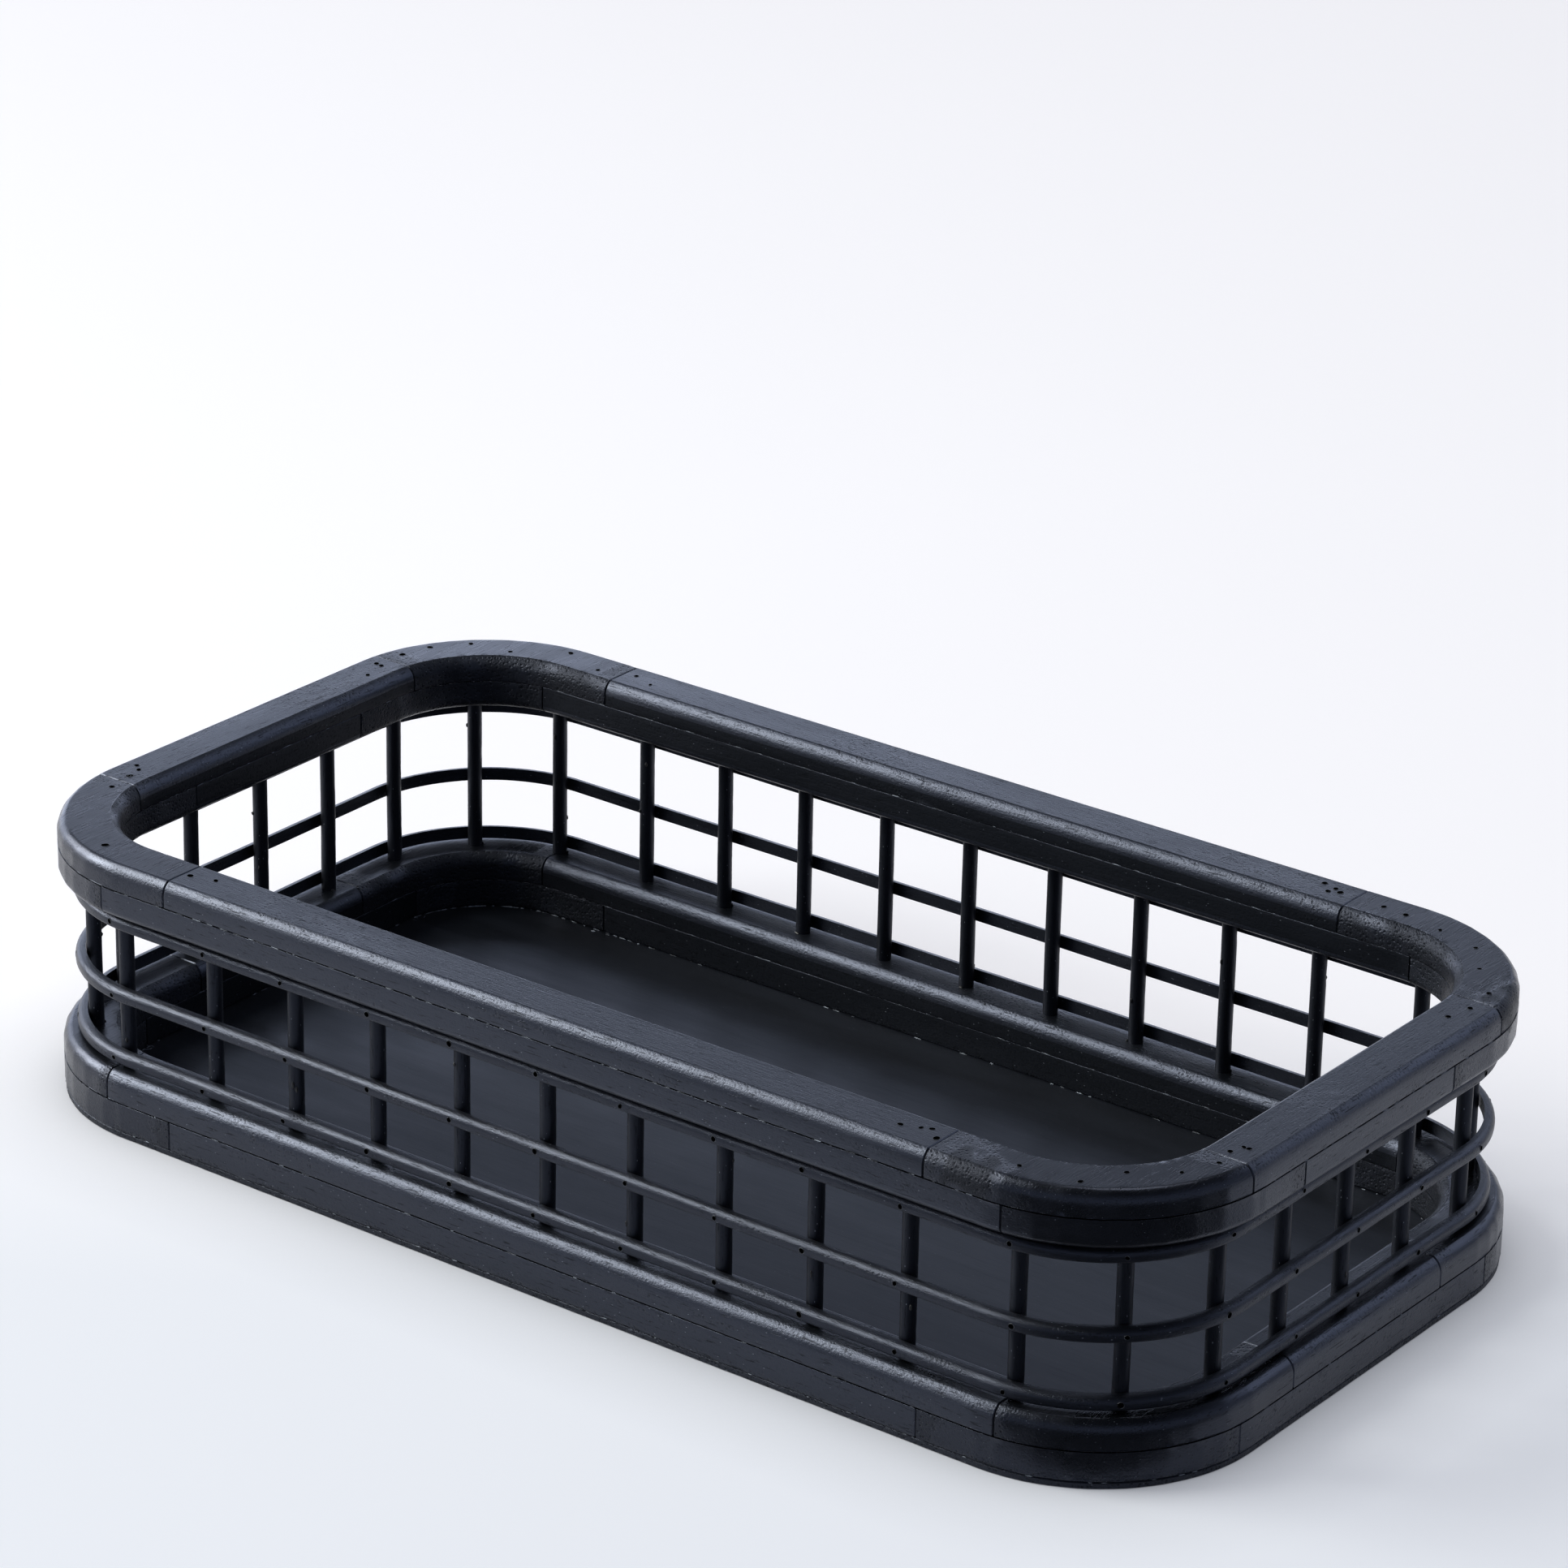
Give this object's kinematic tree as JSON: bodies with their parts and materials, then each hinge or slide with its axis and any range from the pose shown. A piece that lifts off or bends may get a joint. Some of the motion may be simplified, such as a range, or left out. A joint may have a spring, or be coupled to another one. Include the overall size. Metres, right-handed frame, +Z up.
{
  "type": "decorative tray",
  "caption": "Open-sided rectangular tray with round corners: a thin base, lapped bottom and top rims, upright dowels between them and half-round bands around the outside.",
  "frame": {"origin": "middle of the base panel's underside", "axes": "+X along the length, +Y from front to back, +Z up"},
  "size_m": [0.6, 0.318, 0.1266],
  "materials": {
    "stained_rim": "black-stained laminated bamboo, satin, fine grain along the rails",
    "stained_dowel": "black-stained turned dowel, satin",
    "stained_strip": "black-stained half-round strip, satin",
    "stained_panel": "black-stained thin board, smooth satin with faint grain"
  },
  "bodies": {
    "root": {"band_lower": "stained_strip", "band_middle": "stained_strip", "band_upper": "stained_strip", "base_panel": "stained_panel", "bottom_corner_back_left": "stained_rim", "bottom_corner_back_right": "stained_rim", "bottom_corner_front_left": "stained_rim", "bottom_corner_front_right": "stained_rim", "bottom_rail_back": "stained_rim", "bottom_rail_front": "stained_rim", "bottom_rail_left": "stained_rim", "bottom_rail_right": "stained_rim", "dowel_back_01": "stained_dowel", "dowel_back_02": "stained_dowel", "dowel_back_03": "stained_dowel", "dowel_back_04": "stained_dowel", "dowel_back_05": "stained_dowel", "dowel_back_06": "stained_dowel", "dowel_back_07": "stained_dowel", "dowel_back_08": "stained_dowel", "dowel_back_09": "stained_dowel", "dowel_back_10": "stained_dowel", "dowel_back_11": "stained_dowel", "dowel_corner_back_left": "stained_dowel", "dowel_corner_back_right": "stained_dowel", "dowel_corner_front_left": "stained_dowel", "dowel_corner_front_right": "stained_dowel", "dowel_front_01": "stained_dowel", "dowel_front_02": "stained_dowel", "dowel_front_03": "stained_dowel", "dowel_front_04": "stained_dowel", "dowel_front_05": "stained_dowel", "dowel_front_06": "stained_dowel", "dowel_front_07": "stained_dowel", "dowel_front_08": "stained_dowel", "dowel_front_09": "stained_dowel", "dowel_front_10": "stained_dowel", "dowel_front_11": "stained_dowel", "dowel_left_1": "stained_dowel", "dowel_left_2": "stained_dowel", "dowel_left_3": "stained_dowel", "dowel_left_4": "stained_dowel", "dowel_left_5": "stained_dowel", "dowel_right_1": "stained_dowel", "dowel_right_2": "stained_dowel", "dowel_right_3": "stained_dowel", "dowel_right_4": "stained_dowel", "dowel_right_5": "stained_dowel", "top_corner_back_left": "stained_rim", "top_corner_back_right": "stained_rim", "top_corner_front_left": "stained_rim", "top_corner_front_right": "stained_rim", "top_rail_back": "stained_rim", "top_rail_front": "stained_rim", "top_rail_left": "stained_rim", "top_rail_right": "stained_rim"}
  },
  "joints": []
}
